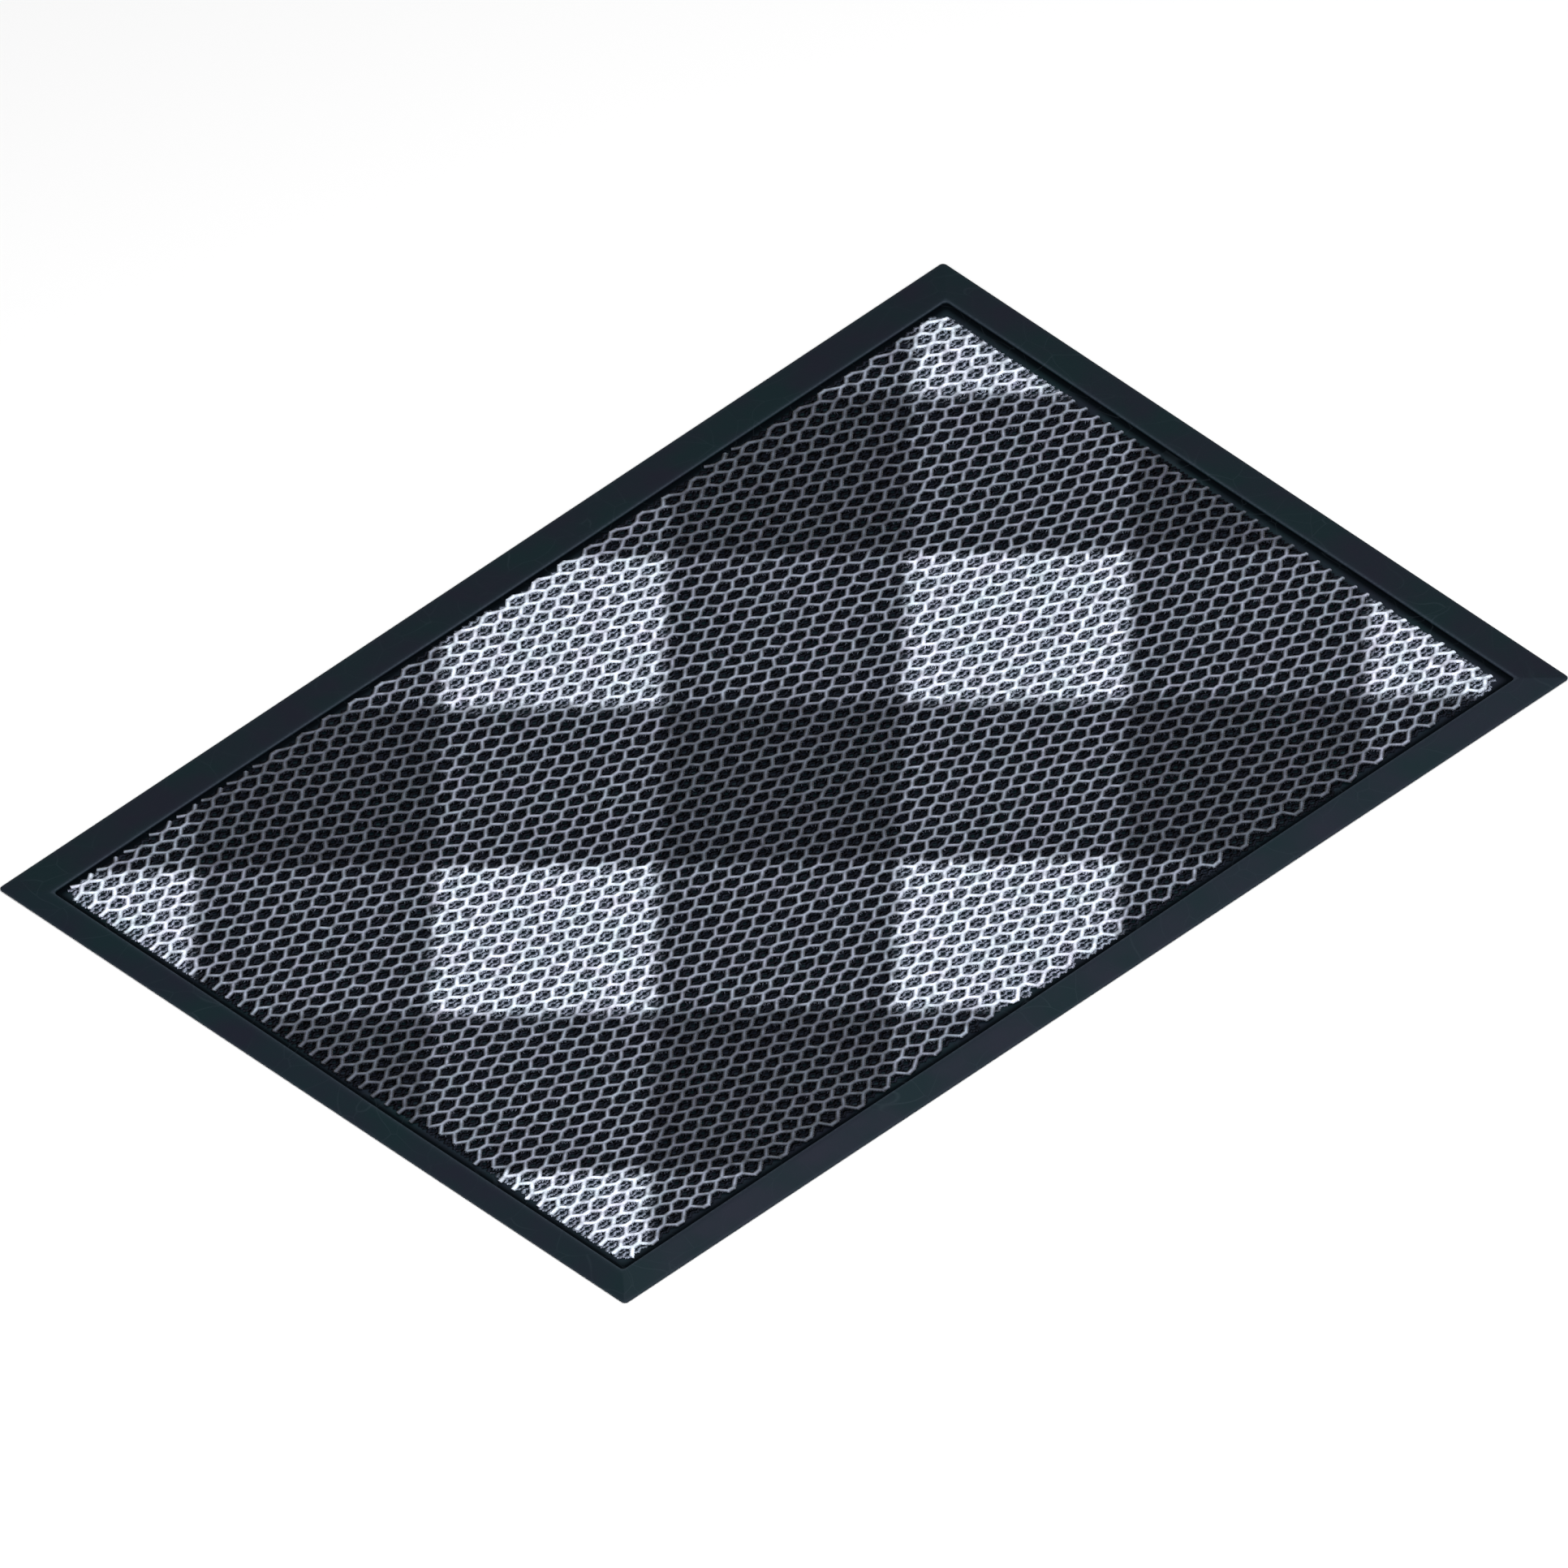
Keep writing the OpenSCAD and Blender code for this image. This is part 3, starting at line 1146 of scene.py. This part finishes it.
        # Each upright draws a side, how far it leans out and ahead, and how far down it reaches
        side, out, on, reach = (
            draw(tree, low, seed) for low, seed in ((-1.0, 11), (0.25, 12), (-1.0, 13), (0.4, 14))
        )
        inward = reckon(tree, "MULTIPLY", reckon(tree, "SIGN", side), out)
        lean = reckon(tree, "MULTIPLY", inward, wanted["Lean"])
        slant = reckon(tree, "MULTIPLY", on, wanted["Lean"])
        aside = reckon_vector(tree, "SCALE", sideways, lean)
        leant = reckon_vector(tree, "ADD", aside, reckon_vector(tree, "SCALE", ahead, slant))
        axis = reckon_vector(tree, "ADD", leant, UP)
        turned = add_node(tree, "FunctionNodeAlignRotationToVector", {"Vector": axis}, axis="Z")
        stretch = reckon_vector(tree, "LENGTH", axis).outputs["Value"]
        # Some end half way down, which fluffs the net's flanks
        _, _, root = split(tree, add_node(tree, "GeometryNodeInputPosition"))
        drop = reckon(tree, "MULTIPLY", reach, reckon(tree, "SUBTRACT", root, wanted["Foot"]))
        length = reckon(tree, "MULTIPLY", stretch, drop)
        size = {"X": wanted["Thickness"], "Y": wanted["Thickness"], "Z": length}
        inputs = {"Points": roots, "Instance": wanted["Mesh"], "Rotation": turned}
        inputs["Scale"] = add_node(tree, "ShaderNodeCombineXYZ", size)
        end_tree(tree, add_node(tree, "GeometryNodeInstanceOnPoints", inputs), inlet)
        uprights = run_tree(name, tree, self.filament(), values)
        drop_numbers(uprights.data)
        return uprights

    def build(self) -> list[Piece]:
        """Makes the three layers and ties them to the frame.

        Returns:
            The bottom net, the uprights and the honeycomb net.
        """
        face_level, back_level = (
            sum(corner.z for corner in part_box(node)) / 2 for node in ("face_net", "back_net")
        )
        face = self.net("honeycomb_net", self.face_knit, face_level, self.cloth.droop, self.face_finish)
        back = self.net("bottom_net", self.back_knit, back_level, 0.0, self.back_finish)
        uprights = self.uprights("upright_yarns", face_level, back_level)
        for piece, node, slot in (
            (face, "face_net", Slot.FACE),
            (uprights, "spacer_pile", Slot.UPRIGHT),
            (back, "back_net", Slot.BACK),
        ):
            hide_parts(node)
            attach(piece, Body.INSERT.value)
        return [back, uprights, face]


# ---------------------------------------------------------------- studio


@dataclass(frozen=True)
class Lamp:
    """A square soft lamp that shines at the mat, with its sides in metres and its power in watts."""

    name: str
    place: tuple[float, float, float]
    size: float
    power: float


LAMPS = (
    Lamp("lamp_front", (-0.6, -2.1, 1.7), 1.3, 46.0),
    Lamp("lamp_top", (0.75, -0.15, 2.4), 1.5, 36.0),
    Lamp("lamp_side", (-2.1, 0.3, 1.5), 1.2, 26.0),
)


@dataclass
class Studio:
    """A pale floor, soft lamps and the camera."""

    azimuth: float = -45.0
    elevation: float = 41.5
    frame_width: float = 0.704
    distance: float = 3.0
    floor_half: float = 8.0
    floor_drop: float = 0.2 * MM
    sky_strength: float = 0.22
    lamps: tuple[Lamp, ...] = LAMPS

    def floor(self) -> None:
        """Lays the pale floor."""
        half = self.floor_half
        corners = [(-half, -half, 0), (half, -half, 0), (half, half, 0), (-half, half, 0)]
        mesh = bpy.data.meshes.new("studio_floor")
        mesh.from_pydata(corners, [], [(0, 1, 2, 3)])
        material, tree = start_finish("floor_painted_matt")
        end_finish(tree, {"Base Color": linear("#f2f2f2"), "Roughness": 0.9, "Specular IOR Level": 0.1})
        mesh.materials.append(material)
        ground = show("studio_floor", mesh)
        ground.location.z = -self.floor_drop

    def hang(self, lamp: Lamp) -> None:
        """Hangs one lamp."""
        light = bpy.data.lights.new(lamp.name, "AREA")
        light.size = lamp.size
        light.energy = lamp.power
        hung = show(lamp.name, light)
        hung.location = lamp.place
        hung.rotation_euler = (-Vector(lamp.place)).to_track_quat("-Z", "Y").to_euler()

    def sky(self) -> None:
        """Fills the room with a weak even light."""
        world = bpy.data.worlds.new("studio")
        world.use_nodes = True
        inputs = world.node_tree.nodes["Background"].inputs
        inputs["Color"].default_value = linear("#ffffff")
        inputs["Strength"].default_value = self.sky_strength
        bpy.context.scene.world = world

    def camera(self) -> None:
        """Sets up the camera without perspective, aimed at the middle of the mat."""
        data = bpy.data.cameras.new("camera")
        data.type = "ORTHO"
        data.ortho_scale = self.frame_width
        data.clip_end = 4 * self.distance
        turn, rise = math.radians(self.azimuth), math.radians(self.elevation)
        back = Vector((math.sin(turn) * math.cos(rise), -math.cos(turn) * math.cos(rise), math.sin(rise)))
        camera = show("camera", data)
        camera.location = back * self.distance
        camera.rotation_euler = back.to_track_quat("Z", "Y").to_euler()
        bpy.context.scene.camera = camera

    def build(self) -> None:
        """Sets up the whole studio."""
        self.floor()
        for lamp in self.lamps:
            self.hang(lamp)
        self.sky()
        self.camera()
        bpy.context.scene.view_settings.view_transform = "Standard"


def main() -> None:
    """Builds the mat and the studio, and reports every piece."""
    logging.basicConfig(level=logging.INFO, format="%(name)s %(message)s")
    Studio().build()
    checks = CheckPattern()
    rubber = MouldedRubber().make()
    # Textured polyester, white and black ends: the white squares glare and the black ones still show grey
    face = Yarn(
        name="polyester_face_yarn_knitted",
        lit_colours=("#62656d", "#999ca5", "#f3f4f8"),
        # The flank colours are the crown's painted darker, as shade where the yarn turns away from the light
        shaded_colours=("#14161e", "#282b33", "#d6d9e0"),
        shade_by="lateral",
        checks=checks,
    ).make()
    # Springy single filaments: pale where they turn down out of the net, painted darker further down, as
    # shade in the cells, save in white squares
    upright = Yarn(
        name="polyester_upright_filament",
        lit_colours=("#5a5d66", "#868993", "#f1f2f6"),
        shaded_colours=("#1f2129", "#3b3e46", "#e4e6ec"),
        shade_by="down",
        checks=checks,
        roughness=0.5,
        shine=0.08,
        sheen=0.0,
        loops=False,
        haze_share=0.75,
    ).make()
    # Fine black yarn with a grey cast, knitted close
    back = Yarn(
        name="polyester_back_yarn_knitted",
        lit_colours=("#12141c", "#1e212a", "#a6aab4"),
        # The flank colours are the crown's painted darker, as shade where the yarn turns away from the light
        shaded_colours=("#0e0f16", "#171920", "#979ba5"),
        shade_by="lateral",
        checks=checks,
        roughness=0.7,
        shine=0.08,
        sheen=0.0,
    ).make()
    for piece in Tray(rubber).build():
        report(piece)
    for piece in Insert(CutCloth(), face, upright, back).build():
        report(piece)


if __name__ == "__main__":
    main()
